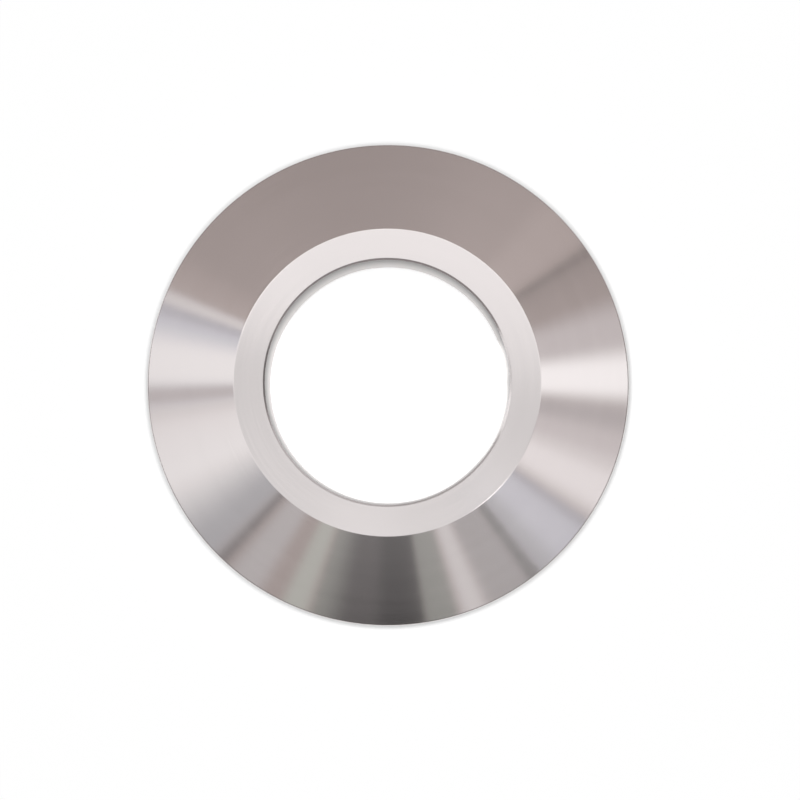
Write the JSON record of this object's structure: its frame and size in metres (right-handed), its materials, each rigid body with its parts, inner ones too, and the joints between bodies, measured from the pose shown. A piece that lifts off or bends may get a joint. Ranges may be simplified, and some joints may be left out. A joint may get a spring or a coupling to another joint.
{
  "type": "sanitary clamp end cap",
  "caption": "Turned stainless clamp flange disc with a coned back, a flat land round a central tube hole, and a gasket groove in its sealing face.",
  "frame": {"origin": "on the axis of the central hole, in the plane of the sealing face", "axes": "+Z along the hole's axis, from the sealing face out of the coned back; the part is the same all round, so +X and +Y are any two directions across it"},
  "size_m": [0.0506, 0.0506, 0.0063],
  "materials": {
    "stainless_steel": "fine turned, satin"
  },
  "bodies": {
    "root": {"end_cap": "stainless_steel"}
  },
  "joints": []
}
